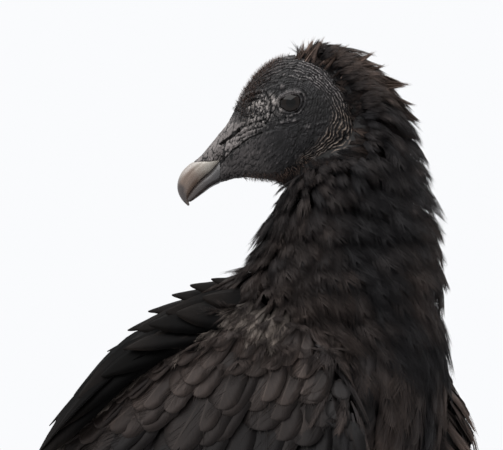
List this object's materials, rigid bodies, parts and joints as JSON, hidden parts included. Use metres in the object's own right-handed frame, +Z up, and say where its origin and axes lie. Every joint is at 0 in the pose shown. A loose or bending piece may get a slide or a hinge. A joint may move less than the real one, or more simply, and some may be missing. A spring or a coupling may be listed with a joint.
{
  "type": "black vulture",
  "caption": "Life-size standing black vulture at rest, wings folded, wrinkled bare grey head turned back over its right shoulder, feathered neck ruff and crest.",
  "frame": {"origin": "on the floor, under the middle of the whole bird", "axes": "+Z up, the bird faces -Y, its left side is +X"},
  "size_m": [0.1914, 0.4124, 0.476],
  "materials": {
    "body_feathers": "soft black body feathers with a slight brown cast",
    "wing_feathers": "faded brown-black wing and tail feathers, slightly glossy",
    "bare_skin": "wrinkled grey-black bare skin",
    "bill_horn": "satin horn, ivory to red-brown at the hook",
    "bill_dark_horn": "satin dark grey horn",
    "eye": "wet, nearly black brown",
    "leg_scales": "matt grey-white scales",
    "claw": "satin black-brown horn"
  },
  "bodies": {
    "root": {"trunk": "body_feathers", "neck": "body_feathers", "scapulars_left": "body_feathers", "scapulars_right": "body_feathers", "thigh_left": "body_feathers", "thigh_right": "body_feathers", "wing_left": "wing_feathers", "wing_right": "wing_feathers", "flight_feathers_left": "wing_feathers", "flight_feathers_right": "wing_feathers", "tail": "wing_feathers", "head": "bare_skin", "bill_upper": "bill_horn", "bill_lower": "bill_dark_horn", "eye_left": "eye", "eye_right": "eye", "shank_left": "leg_scales", "toe_middle_left": "leg_scales", "claw_middle_left": "claw", "toe_inner_left": "leg_scales", "claw_inner_left": "claw", "toe_outer_left": "leg_scales", "claw_outer_left": "claw", "toe_hind_left": "leg_scales", "claw_hind_left": "claw", "shank_right": "leg_scales", "toe_middle_right": "leg_scales", "claw_middle_right": "claw", "toe_inner_right": "leg_scales", "claw_inner_right": "claw", "toe_outer_right": "leg_scales", "claw_outer_right": "claw", "toe_hind_right": "leg_scales", "claw_hind_right": "claw"}
  },
  "joints": []
}
